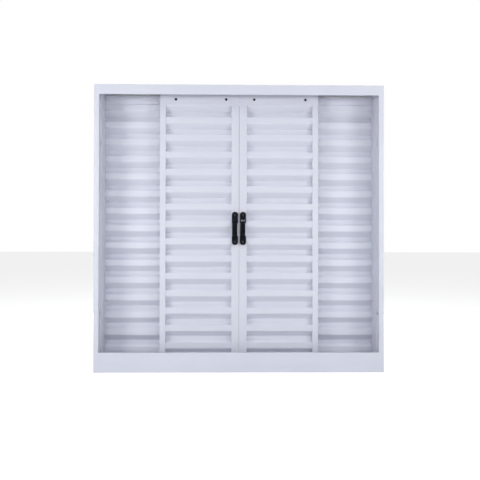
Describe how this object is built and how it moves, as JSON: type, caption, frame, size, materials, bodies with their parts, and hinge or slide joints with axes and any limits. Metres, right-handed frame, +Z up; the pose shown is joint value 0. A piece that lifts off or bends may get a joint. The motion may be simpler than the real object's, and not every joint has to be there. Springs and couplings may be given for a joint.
{
  "type": "louvred sliding shutter window",
  "caption": "White aluminium window frame with louvred leaves: the outer ones fixed, the middle ones sliding apart on rollers, with black pull handles and a hook latch.",
  "frame": {"origin": "middle of the frame's underside", "axes": "+X right, +Z up, the room side with the handles towards -Y"},
  "size_m": [1, 0.12, 0.992],
  "materials": {
    "frame_enamel": "satin",
    "louvre_enamel": "satin",
    "black_plastic": "satin",
    "black_steel": "satin",
    "zinc_steel": "satin",
    "nylon": "satin",
    "grey_pile": "matte",
    "black_rubber": "matte"
  },
  "bodies": {
    "root": {"fixed_corner_screws": "zinc_steel", "fixed_rear_screws": "zinc_steel", "frame_corner_screws": "zinc_steel", "head_brush_seal": "grey_pile", "head_track": "frame_enamel", "jamb_bumpers": "nylon", "left_fixed_bottom_rail": "frame_enamel", "left_fixed_brush_seal": "grey_pile", "left_fixed_combs": "nylon", "left_fixed_inner_stile": "frame_enamel", "left_fixed_louvres": "louvre_enamel", "left_fixed_outer_stile": "frame_enamel", "left_fixed_top_rail": "frame_enamel", "left_jamb": "frame_enamel", "right_fixed_bottom_rail": "frame_enamel", "right_fixed_brush_seal": "grey_pile", "right_fixed_combs": "nylon", "right_fixed_inner_stile": "frame_enamel", "right_fixed_louvres": "louvre_enamel", "right_fixed_outer_stile": "frame_enamel", "right_fixed_top_rail": "frame_enamel", "right_jamb": "frame_enamel", "sill_track": "frame_enamel"},
    "left_leaf": {"latch_keeper": "zinc_steel", "left_handle": "black_plastic", "left_handle_screws": "black_steel", "left_leaf_bottom_rail": "frame_enamel", "left_leaf_combs": "nylon", "left_leaf_corner_screws": "zinc_steel", "left_leaf_guide_screws": "black_steel", "left_leaf_guide_shoes": "nylon", "left_leaf_louvres": "louvre_enamel", "left_leaf_meeting_stile": "frame_enamel", "left_leaf_outer_stile": "frame_enamel", "left_leaf_roller_axles": "zinc_steel", "left_leaf_roller_housings": "zinc_steel", "left_leaf_top_rail": "frame_enamel", "meeting_seal": "black_rubber"},
    "right_leaf": {"latch_body": "nylon", "latch_pivot": "zinc_steel", "right_handle": "black_plastic", "right_handle_screws": "black_steel", "right_leaf_bottom_rail": "frame_enamel", "right_leaf_combs": "nylon", "right_leaf_corner_screws": "zinc_steel", "right_leaf_guide_screws": "black_steel", "right_leaf_guide_shoes": "nylon", "right_leaf_louvres": "louvre_enamel", "right_leaf_meeting_stile": "frame_enamel", "right_leaf_outer_stile": "frame_enamel", "right_leaf_roller_axles": "zinc_steel", "right_leaf_roller_housings": "zinc_steel", "right_leaf_top_rail": "frame_enamel"},
    "left_leaf_outer_roller": {"left_leaf_outer_roller": "nylon"},
    "left_leaf_inner_roller": {"left_leaf_inner_roller": "nylon"},
    "right_leaf_outer_roller": {"right_leaf_outer_roller": "nylon"},
    "right_leaf_inner_roller": {"right_leaf_inner_roller": "nylon"},
    "latch_slider": {"latch_slider": "black_plastic"},
    "latch_hook": {"latch_hook": "zinc_steel"}
  },
  "joints": [
    {"name": "left_leaf_slide", "type": "slide", "parent": "root", "child": "left_leaf", "axis": [-1, 0, 0], "range_m": [0, 0.198]},
    {"name": "right_leaf_slide", "type": "slide", "parent": "root", "child": "right_leaf", "axis": [1, 0, 0], "range_m": [0, 0.198]},
    {"name": "left_leaf_outer_roller_spin", "type": "hinge", "parent": "left_leaf", "child": "left_leaf_outer_roller", "pos_m": [-0.236, 0.0085, 0.029], "axis": [0, -1, 0], "continuous": true},
    {"name": "left_leaf_inner_roller_spin", "type": "hinge", "parent": "left_leaf", "child": "left_leaf_inner_roller", "pos_m": [-0.05, 0.0085, 0.029], "axis": [0, -1, 0], "continuous": true},
    {"name": "right_leaf_outer_roller_spin", "type": "hinge", "parent": "right_leaf", "child": "right_leaf_outer_roller", "pos_m": [0.236, 0.0085, 0.029], "axis": [0, 1, 0], "continuous": true},
    {"name": "right_leaf_inner_roller_spin", "type": "hinge", "parent": "right_leaf", "child": "right_leaf_inner_roller", "pos_m": [0.05, 0.0085, 0.029], "axis": [0, 1, 0], "continuous": true},
    {"name": "latch_slider_slide", "type": "slide", "parent": "right_leaf", "child": "latch_slider", "axis": [0, 0, 1], "range_m": [0, 0.0045]},
    {"name": "latch_hook_swing", "type": "hinge", "parent": "right_leaf", "child": "latch_hook", "pos_m": [0.012, 0.0025, 0.5], "axis": [0, -1, 0], "range_deg": [0, 68]}
  ],
  "couplings": [
    {"joint": "left_leaf_outer_roller_spin", "follows": "left_leaf_slide", "rad_per_m": 142.86},
    {"joint": "left_leaf_inner_roller_spin", "follows": "left_leaf_slide", "rad_per_m": 142.86},
    {"joint": "right_leaf_outer_roller_spin", "follows": "right_leaf_slide", "rad_per_m": 142.86},
    {"joint": "right_leaf_inner_roller_spin", "follows": "right_leaf_slide", "rad_per_m": 142.86},
    {"joint": "latch_hook_swing", "follows": "latch_slider_slide", "rad_per_m": 263.74}
  ]
}
